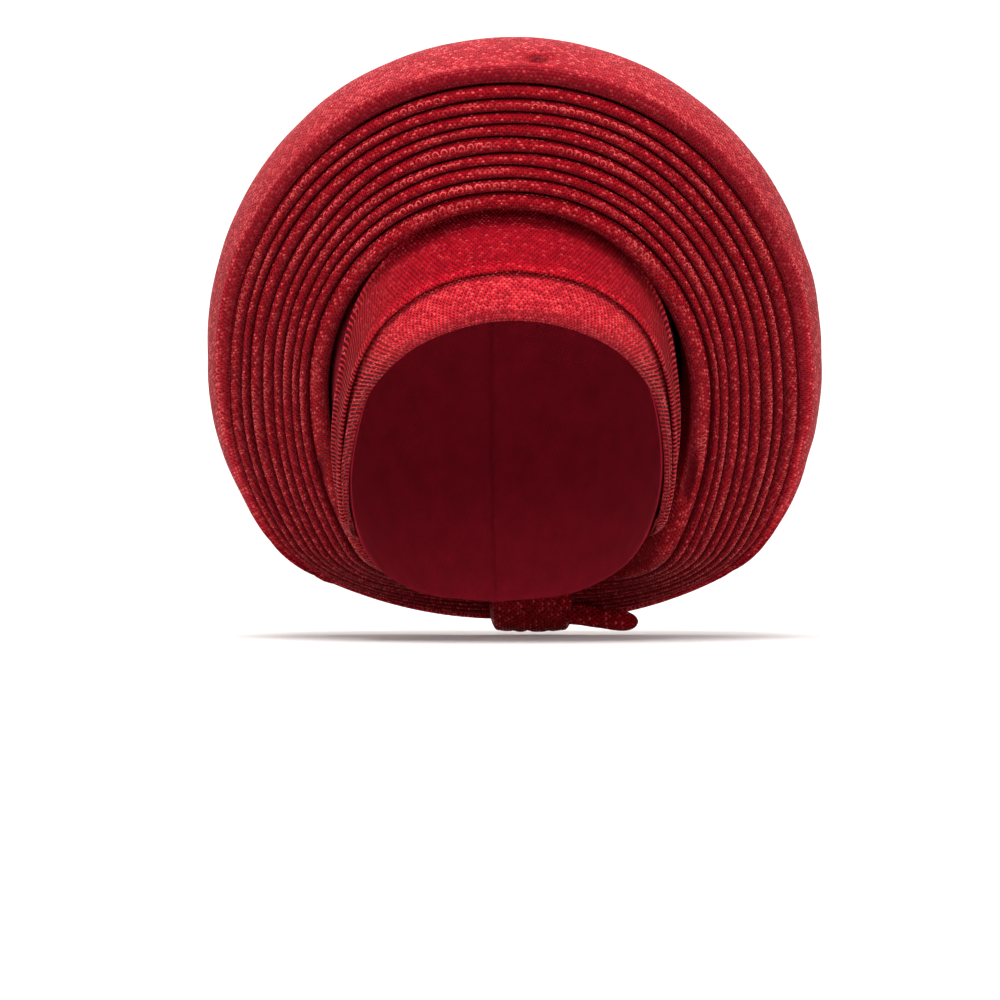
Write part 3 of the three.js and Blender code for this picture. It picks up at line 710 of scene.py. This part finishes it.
class FanFace:
    """The fan's face at one angle: point(across, deep) in millimetres outwards and backwards."""

    def __init__(self, angle):
        low, high = max(-RING_END, angle - 0.5), min(RING_END, angle + 0.5)
        self.places, alongs = [], []
        for share in spaced(0, 1, FACE_STEPS + 1):
            ring = {key: mix(RINGS["inner"][key], RINGS["outer"][key], share) for key in RINGS["inner"]}
            along = ring_point(ring, high) - ring_point(ring, low)
            alongs.append(worn(Vector((1, 0, 0))) if abs(angle) == RING_END else along)
            self.places.append(ring_point(ring, angle))
        out = self.places[-1] - self.places[0]
        self.width = out.length
        self.outwards = out.normalized()
        self.along = alongs[0].normalized()
        self.backwards = []
        for along in alongs:
            normal = along.cross(out).normalized()
            self.backwards.append(-normal if normal.y < 0 else normal)
        first = self.width * column(FAN_ROWS, angle, "first")
        last = self.width * column(FAN_ROWS, angle, "last")
        self.pitch = (last - first) / (PLEATS - 1)
        self.grooves = [0]
        for i, (row, even) in enumerate(zip(GROOVE_ROWS, spaced(first, last, PLEATS))):
            side = row["right"] if angle < 0 else row["left"]
            shares = [(0, row["top"]), (90, side), (140, side * 0.4), (180, 0)]
            for (a, x), (b, y) in zip(shares, shares[1:]):
                if a <= abs(angle) <= b:
                    shift = mix(x, y, ease(a, b, abs(angle)))
            if 0 < i < PLEATS - 1:
                shift += GROOVE_WANDER * waver(41 + i, angle * 0.03)
            self.grooves.append(even - shift * self.pitch)
        self.depth = PLEAT_DEPTH * column(FAN_ROWS, angle, "depth")

    def point(self, across, deep):
        share = min(1, max(0, across / self.width)) * FACE_STEPS
        i = min(FACE_STEPS - 1, int(share))
        base = self.places[i].lerp(self.places[i + 1], share - i)
        return base + self.backwards[i].lerp(self.backwards[i + 1], share - i).normalized() * deep


def head_share(point, grow):
    """Below 1 where a point lies inside the head form grown outwards."""
    rise = point.z + CROWN_HEIGHT
    height = (CROWN_HEIGHT if rise > 0 else HEAD_BELOW) + grow
    return math.hypot(point.x / (HEAD_BREADTH / 2 + grow), point.y / (HEAD_LENGTH / 2 + grow), rise / height)


def on_head(point, grow):
    """A point moved straight out from the head's middle, or in, until it lies on the grown head form."""
    return HEAD_MIDDLE + (point - HEAD_MIDDLE) / head_share(point, grow)


def fan_line(angle):
    """The fan's outer face at one angle: up from the cap, over the first fold, then pleat by pleat."""
    face = FanFace(angle)

    def in_plane(point):
        return point - face.along * (point - face.places[0]).dot(face.along)

    def lifted(point, grow):
        return in_plane(on_head(point, grow)) if head_share(point, grow) < 1 else point

    shows = 1 - ease(*BAND_SHOWS, abs(angle))
    seat = CAP_WALL + 2 * BEDDING
    over = mix(seat, seat - BEDDING + BAND_WALL + BRIDGE_RISE, shows)
    root = in_plane(on_head(face.point(0, face.depth * ROOT_DEPTH), seat))
    bridge = lifted(face.point(0, 0).lerp(root, 0.35), over)
    lip = lifted(face.point(0, face.pitch * 0.8), seat)
    line = smooth_line([root, root.lerp(bridge, 0.5), bridge, lip], WALL_POINTS + 1)[:-1]
    gap = min(GROOVE_GAP, 0.12 * face.pitch) / 2
    for i in range(1, PLEATS + 1):
        left = face.grooves[i - 1] + (gap if i > 1 else 0)
        right = face.grooves[i] - gap
        size = right - left
        crown = min(size, face.pitch * 1.5) * 0.5 * ROLL_SHARE
        nod = 0.5 * waver(60 + i, angle * 0.025) + 0.18 * waver(80 + i, angle * 0.11)
        side = [(0.2, face.depth), (0, face.depth * 0.7), (size * 0.02, mix(crown, face.depth, 0.25))]
        if i > 1:
            line += [face.point(left + inwards, deep) for inwards, deep in side]
        for k in range(CREST_POINTS):
            around = math.pi * k / (CREST_POINTS - 1)
            across = (left + right) / 2 - size / 2 * ROLL_SHARE * math.cos(around)
            line.append(face.point(across, crown * (1 - math.sin(around)) + nod * math.sin(around)))
        line += [face.point(right - inwards, deep) for inwards, deep in side[::-1]]
    return line


# Where the first fold curls in beside the cheeks, as seen from the front, and where painted shade darkens
# the curl.
FOLD_DENTS = table(
    "x z wide high deep",
    (78, -122, 1.4, 6, 4.5),
    (76.5, -130, 1.3, 5, 3),
    (-75, -124, 1.8, 7, 4),
)


def dent_share(dent, point):
    """How much of a dent's full depth it has at a point, from 0 to 1."""
    x, z = (point.x - dent["x"]) / dent["wide"], (point.z - dent["z"]) / dent["high"]
    return math.exp(-(x ** 2) - z ** 2)


def dent_depth(point):
    return sum(dent["deep"] * dent_share(dent, point) for dent in FOLD_DENTS)


fan_angles = spaced(-RING_END, RING_END, FAN_STATIONS)
fan_grid = [fan_line(angle) for angle in fan_angles]
for station in fan_grid:
    for j in range(WALL_POINTS // 2 + 1, FIRST_FOLD - SIDE_POINTS):
        station[j] = station[j] + Vector((0, dent_depth(station[j]), 0))
fan_lanes = [WALL_POINTS + CREST_POINTS // 2] * FIRST_FOLD
for pleat in range(PLEATS - 1):
    crest = FIRST_FOLD + PLEAT_POINTS * pleat + SIDE_POINTS + CREST_POINTS // 2
    fan_lanes += [crest] * PLEAT_POINTS


def fan_strain(i, j):
    """The first fold's inner wall is pulled into ribs at the sides, where it turns down to the nape."""
    return 0.6 * ease(80, 100, abs(fan_angles[i])) * (1 - ease(9, 16, j))


def fan_painted_light_roll(i, j):
    """Painted shade, which deepens in the grooves from pleat to pleat, and the place of the painted ring
    glints. The first fold's inner wall lies in painted shade but for its ends, and so does its curl."""
    if j >= FIRST_FOLD:
        pleat, point = divmod(j - FIRST_FOLD, PLEAT_POINTS)
        return (2 * (point - SIDE_POINTS) / (CREST_POINTS - 1) - 1) * (1.05 + 0.035 * pleat)
    roll = 2 * (j - WALL_POINTS) / (CREST_POINTS - 1) - 1
    if j < WALL_POINTS:
        roll = mix(-1.4, -0.75, j / (WALL_POINTS - 1))
    # The painted shade lifts off the inner wall towards the fan's ends.
    lit = ease(95, 112, abs(fan_angles[i])) if j < WALL_POINTS + CREST_POINTS // 2 else 0
    return roll * (1 - 0.7 * lit) - dent_depth(fan_grid[i][j]) / 2.5


fan_knit = metallic_knit("metallic_knit_pleats", base="b8071b", width=0.0020, row=0.0013, dull=0.57)
fan = cloth("fan_cloth", fan_knit, fan_grid, CLOTH_WALL * 0.7, behind=Vector((0, 400, -CROWN_HEIGHT)),
            lanes=fan_lanes, ribs=fan_strain, painted_light_rolls=fan_painted_light_roll)
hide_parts("pleated_fan")
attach(fan, "root")

# Rim band: the last and widest fold of the knit, rolled forwards over the ninth pleat and carried back
# over the crown to a turned hem. It is tacked down near its top, which leaves a small dimple.
RIM_WALL = 1.4
RIM_RISE = 5.5
RIM_POINTS = 46
RIM_CREST = 10  # the point of the rim's line that lies on its front crest
RIM_LANE = 12  # the point whose length round the rim sets the loops' width
RIM_HEM = 3.2  # points from the hem's edge to its stitched dent
RIM_HEM_DENT = 0.5
RIM_MIDDLE = (4, -76)  # aside and up, as seen from the front
UNDER_CREST = -0.37  # the roll at the crest, so that the front of the rim lies in painted shade
CREST_SHADE = 3.5  # how far back from the crest that painted shade wears off

# Dents and swells of the rim, as seen from the front: their middle, their size and how far they push the
# cloth outwards.
RIM_DENTS = table(
    "x z wide high push",
    (10, 40, 4.2, 1.8, -4.6),
    (11, 36.5, 9, 1.5, .7),
    (113, -33, 9, 8, -.9),
    (118, -46, 10, 10, .7),
    (124, -116, 8, 7, -1.2),
    (-108, -131, 11, 10, -.8),
    (-70, 35, 22, 12, .6),
)
# The painted shade in the dimple's pit reaches a little further than the dimple.
TACK_PAINTED_SHADE = dict(RIM_DENTS[0], wide=5)


def rim_line(angle):
    """The rim's outer face at one angle, from its root in the last groove to its hem."""
    face = FanFace(angle)
    last = face.grooves[PLEATS]
    room = face.width - last
    rise = min(RIM_RISE, room * 0.45)
    start = last + min(GROOVE_GAP, room * 0.17)
    widest, hem = ring_point(RINGS["widest"], angle), ring_point(RINGS["hem"], angle)
    crest = face.point(start + rise, 0)
    root = [
        face.point(start, face.depth), face.point(start, mix(rise * 0.9, face.depth, 0.5)),
        face.point(start, rise * 0.9), face.point(start + rise * 0.1, rise * 0.45),
        face.point(start + rise * 0.35, rise * 0.2),
    ]
    bend = crest.lerp(widest, 0.07) + face.outwards * min(1.3, room * 0.05)
    return smooth_line(root + [crest, bend, widest, hem], RIM_POINTS)


rim_grid = [rim_line(angle) for angle in fan_angles]
for i, station in enumerate(rim_grid):
    angle = fan_angles[i]
    free = 1 - ease(105, 150, abs(angle))
    middle = Vector((RIM_MIDDLE[0], station[RIM_POINTS // 2].y, RIM_MIDDLE[1]))
    for j, point in enumerate(station):
        shown = ease(3, 12, j) * free
        out = (point - middle).normalized()
        push = 0.75 * waver(7, angle * 0.045, j * 0.06) + 0.25 * waver(8, angle * 0.16, j * 0.2)
        for dent in RIM_DENTS:
            push += dent["push"] * dent_share(dent, point) * (1 - ease(20, 40, j))
        hem = -RIM_HEM_DENT * math.exp(-((RIM_POINTS - 1 - j - RIM_HEM) / 0.8) ** 2)
        station[j] = point + out * (push * shown + hem * free)


def rim_painted_light_roll(i, j):
    """The rim's front lies in painted shade up to its crest, and so does the pit where it is tacked down."""
    if j < RIM_CREST:
        return mix(-1.3, UNDER_CREST, j / RIM_CREST)
    point = rim_grid[i][j]
    past = (point - rim_grid[i][RIM_CREST]).length
    pit = 0.8 * dent_share(TACK_PAINTED_SHADE, point) if j > RIM_CREST + 2 else 0
    return min(FLAT_CLOTH, UNDER_CREST + past / CREST_SHADE) + pit


# A brighter copy of the knit, with more sheen and lighter holes: painted light on the rim's top, which faces
# the lamp above.
painted_lit_rim_knit = metallic_knit(
    "metallic_knit_rim_painted_lit", base="d01228", hole="50040d", width=0.0020, row=0.0016, dull=0.55, sheen=0.13,
)
rim = cloth("rim_cloth", painted_lit_rim_knit, rim_grid, RIM_WALL, behind=Vector((4, 60, -90)),
            lanes=[RIM_LANE] * RIM_POINTS, painted_light_rolls=rim_painted_light_roll)
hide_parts("rim_band")
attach(rim, "root")

# Back panel: a single layer of the same knit from under the rim's hem over the back of the head, drawn
# together into soft gathers at the knot.
PANEL_INSET = 1.9
PANEL_STATIONS = 300
PANEL_POINTS = 64
PANEL_END = 162
PANEL_START = 8  # points back from the rim's hem to where the panel is sewn on
GATHERS = 11  # in a full turn, with finer ones among them
FINE_GATHERS = 29
GATHER_HEIGHT = 2.5
KNOT_BREADTH = 34
KNOT_THICKNESS = 19
PANEL_INSIDE = Vector((4, 40, -80))
PANEL_MIDDLE = Vector((4, 0, -80))
PANEL_AXIS = Vector((0, 0.94, 0.342))  # from its middle straight out through the panel
PANEL_REACH = 108


def panel_line(angle):
    """The panel's line at one angle, from just under the rim's hem to the knot."""
    line = rim_line(angle)
    hem = ring_point(RINGS["hem"], angle)
    before = line[-PANEL_START]
    fan_out = math.radians(90 * angle / RING_END)
    foot = worn(knot_point(
        (KNOT_LENGTH / 2 + 1) * math.sin(fan_out), mix(-4, 7, math.sin(fan_out) ** 2),
        KNOT_THICKNESS / 2 + 2.2,
    ))
    reach = (hem - foot).length
    rise = worn(Vector((math.sin(fan_out), 0.55, math.cos(fan_out))))
    leaving = (hem - line[-5]).normalized()
    sweep = [curve_point(hem, hem + leaving * reach * 0.36, foot + rise * reach * 0.4, foot, t)
             for t in spaced(0, 1, PANEL_POINTS - 2)]
    return [before, before.lerp(hem, 0.6)] + sweep


panel_angles = spaced(-PANEL_END, PANEL_END, PANEL_STATIONS)
panel_plain = [panel_line(angle) for angle in panel_angles]
panel_normals = normals_of(panel_plain, PANEL_INSIDE)
panel_grid = []
for angle, station, normals in zip(panel_angles, panel_plain, panel_normals):
    line = []
    for j, (point, normal) in enumerate(zip(station, normals)):
        down = j / (PANEL_POINTS - 1)
        depth = GATHER_HEIGHT * math.sin(math.pi * down ** 2)
        wander = angle + 9 * waver(21, angle * 0.03, down * 2)
        fold = depth * (math.cos(math.radians(wander * GATHERS))
                        + 0.22 * math.cos(math.radians(angle * FINE_GATHERS + 60 * waver(22, down * 3))))
        fold += 0.8 * waver(23, angle * 0.02, down * 3) * math.sin(math.pi * down)
        fold *= 1 - 0.85 * ease(112, 138, abs(angle))
        line.append(point + normal * (fold - RIM_WALL - PANEL_INSET + 0.25))
    panel_grid.append(line)


def from_behind(point):
    """A point's place when the panel is laid flat round its middle, so that no loops crowd at the knot."""
    away = (point - PANEL_MIDDLE).normalized()
    up = Vector((0, -PANEL_AXIS.z, PANEL_AXIS.y))
    turned = math.acos(max(-1, min(1, away.dot(PANEL_AXIS)))) * PANEL_REACH
    flat = math.hypot(away.x, away.dot(up))
    return (-turned * away.dot(up) / flat, turned * away.x / flat)


panel_layout = [[from_behind(point) for point in station] for station in panel_plain]
panel = cloth("panel_cloth", fan_knit, panel_grid, CLOTH_WALL * 0.8, PANEL_INSIDE, layout=panel_layout)
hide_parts("back_panel")
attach(panel, "root")

# Nape knot: a short strip of the knit wrapped round the gathered ends and sewn, with creases that run
# round it.
KNOT_STATIONS = 60
KNOT_SIDES = 72
KNOT_CREASES = table("at depth", (-.5, .03), (-.02, .045), (.4, .03))


def knot_radius(share, turn):
    """How full the knot is, as a share of its size: a soft barrel with three creases round it."""
    barrel = 0.8 + 0.17 * math.sqrt(max(0, 1 - share * share))
    barrel *= math.sqrt(max(0.05, 1 - max(0, (abs(share) - 0.8) / 0.205) ** 2))
    crease = 0
    for row in KNOT_CREASES:
        bent = row["at"] + 0.09 * math.sin(math.radians(turn) + row["at"] * 9)
        crease -= row["depth"] * math.exp(-((share - bent) / 0.07) ** 2)
    return barrel + crease + 0.012 * waver(31, share * 3, math.sin(math.radians(turn)) * 2)


def knot_ring(share):
    ring = []
    for turn in spaced(0, 360, KNOT_SIDES + 1)[:-1]:
        size, around = knot_radius(share, turn), math.radians(turn)
        along, over = KNOT_BREADTH / 2 * size * math.cos(around), KNOT_THICKNESS / 2 * size * math.sin(around)
        ring.append(worn(knot_point(share * KNOT_LENGTH / 2, along, over)))
    return ring


def closed_roll(name, material, rings, lengths):
    """A solid roll of cloth through rings of points, closed at its ends. lengths are the rings' places."""
    sides = len(rings[0])
    points = [p for ring in rings for p in ring]
    points += [sum(ring, Vector()) / sides for ring in (rings[0], rings[-1])]
    faces = []
    for i in range(len(rings) - 1):
        for j in range(sides):
            k = (j + 1) % sides
            faces.append((i * sides + j, i * sides + k, (i + 1) * sides + k, (i + 1) * sides + j))
    last = (len(rings) - 1) * sides
    for j in range(sides):
        k = (j + 1) % sides
        faces += [(len(points) - 2, k, j), (len(points) - 1, last + j, last + k)]
    volume = sum(points[face[0]].dot(points[b].cross(points[c]))
                 for face in faces for b, c in zip(face[1:], face[2:]))
    if volume < 0:
        faces = [face[:1] + face[:0:-1] for face in faces]
    girth = sum((a - b).length for a, b in zip(rings[len(rings) // 2], rings[len(rings) // 2][1:]))
    places = []
    for face in faces:
        wraps = {0, sides - 1} <= {v % sides for v in face}
        for v in face:
            round_at = sides if wraps and v % sides == 0 else v % sides
            places.append((lengths[min(v // sides, len(rings) - 1)], round_at / sides * girth))
    count = len(points)
    return cloth_object(name, material, points, faces, places, [0.0] * count, [FLAT_CLOTH] * count)


knot_shares = [math.sin(a) for a in spaced(-math.pi / 2, math.pi / 2, KNOT_STATIONS)]
knot_lengths = [share * KNOT_LENGTH / 2 for share in knot_shares]
knot = closed_roll("knot_cloth", fan_knit, [knot_ring(share) for share in knot_shares], knot_lengths)
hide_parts("nape_knot")
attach(knot, "root")

# Tucked end: the rolled end of the strip that is left over from the knot and hangs out beside it at the
# wearer's left.
TAIL_LENGTH = 27
TAIL_HEIGHT = 9
TAIL_THICKNESS = 7
TAIL_TAPER = 0.7  # of its length is full, and the rest rounds off
TAIL_STATIONS = 44
TAIL_SIDES = 40
TAIL_ROWS = table(
    "share along over",
    (0, 2, -5.6),
    (.35, 2, -6.5),
    (.7, 0, -12),
    (1, -2.5, -14.5),
)

tail_path = [
    worn(knot_point(KNOT_LENGTH / 2 - 2 + row["share"] * (TAIL_LENGTH + 2), row["along"], row["over"]))
    for row in TAIL_ROWS
]
tail_rings = []
for share in spaced(0, 1, TAIL_STATIONS):
    at = curve_point(*tail_path, share)
    ahead = curve_point(*tail_path, share + 0.01) - curve_point(*tail_path, share - 0.01)
    side = Vector((0, 0, 1)).cross(ahead).normalized()
    past = max(0, (share - TAIL_TAPER) / (1 - TAIL_TAPER))
    swell = math.sqrt(max(0.02, 1 - (0.98 * past) ** 2))
    ring = []
    for turn in spaced(0, 2 * math.pi, TAIL_SIDES + 1)[:-1]:
        roll = 1 - 0.13 * math.exp(-((math.cos(turn - 2.4 - share) - 1) / 0.03) ** 2)
        roll *= 1 + 0.04 * waver(51, share * 5, math.sin(turn))
        ring.append(at + side * TAIL_THICKNESS / 2 * swell * roll * math.cos(turn)
                    + Vector((0, 0, TAIL_HEIGHT / 2 * swell * roll * math.sin(turn))))
    tail_rings.append(ring)
tail = closed_roll("tail_cloth", fan_knit, tail_rings, spaced(0, TAIL_LENGTH, TAIL_STATIONS))
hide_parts("tucked_end")
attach(tail, "root")

# Studio: a plain pale sweep of matt paper under and behind the turban, a broad soft light above it, a
# lower one in front, a weak strip on each side that catches the rim, and a light on the backdrop.
FLOOR_DROP = -0.1925
SWEEP_COLOUR = "ecebe9"
SWEEP_FRONT = -6
SWEEP_BACK = 1.1  # where the floor starts to bend up into the backdrop
SWEEP_BEND = 1.8
SWEEP_TOP = 6
SWEEP_HALF = 7
ROOM_LIGHT = 0.25
LIGHTS = table(
    "name at aim size power",
    ("overhead", (-0.1, -0.6, 1.15), (0, 0, -0.07), (0.9, 0.6), 25),
    ("front", (-0.1, -1.7, 0.75), (0, 0, -0.07), (0.7, 0.6), 11),
    ("left_strip", (-1.05, -0.3, 0.2), (0, 0, -0.07), (0.4, 1.2), 1.0),
    ("right_strip", (1.05, -0.3, 0.2), (0, 0, -0.07), (0.4, 1.2), 2.6),
    ("backdrop", (0, 1.2, 2.6), (0, 2.6, 0.4), (3, 0.6), 80),
)

paper = new_material("matt_paper")
node(paper, "OutputMaterial", node(paper, "BsdfPrincipled", Base_Color=linear(SWEEP_COLOUR), Roughness=0.9))

sweep_mesh = bpy.data.meshes.new("sweep")
sweep_profile = [(SWEEP_FRONT, 0), (SWEEP_BACK, 0)] + [
    (SWEEP_BACK + SWEEP_BEND * math.sin(a), SWEEP_BEND * (1 - math.cos(a)))
    for a in spaced(0.05, math.pi / 2, 30)
] + [(SWEEP_BACK + SWEEP_BEND, SWEEP_TOP)]
sweep_points = [(x, y, FLOOR_DROP + z) for y, z in sweep_profile for x in (-SWEEP_HALF, SWEEP_HALF)]
sweep_mesh.from_pydata(
    sweep_points, [], [(i, i + 1, i + 3, i + 2) for i in range(0, len(sweep_points) - 2, 2)],
)
sweep_mesh.polygons.foreach_set("use_smooth", [True] * len(sweep_mesh.polygons))
sweep_mesh.materials.append(paper)
sweep = in_scene("sweep", sweep_mesh)

for row in LIGHTS:
    lamp = bpy.data.lights.new(row["name"], "AREA")
    lamp.shape = "RECTANGLE"
    lamp.size, lamp.size_y = row["size"]
    lamp.energy = row["power"]
    holder = in_scene(row["name"], lamp)
    holder.location = row["at"]
    aim = Vector(row["aim"]) - holder.location
    holder.rotation_euler = aim.to_track_quat("-Z", "Y").to_euler()

world = bpy.data.worlds.new("studio")
world.use_nodes = True
background = world.node_tree.nodes["Background"]
background.inputs["Color"].default_value = linear("ffffff")
background.inputs["Strength"].default_value = ROOM_LIGHT
bpy.context.scene.world = world
bpy.context.scene.view_settings.view_transform = "Standard"
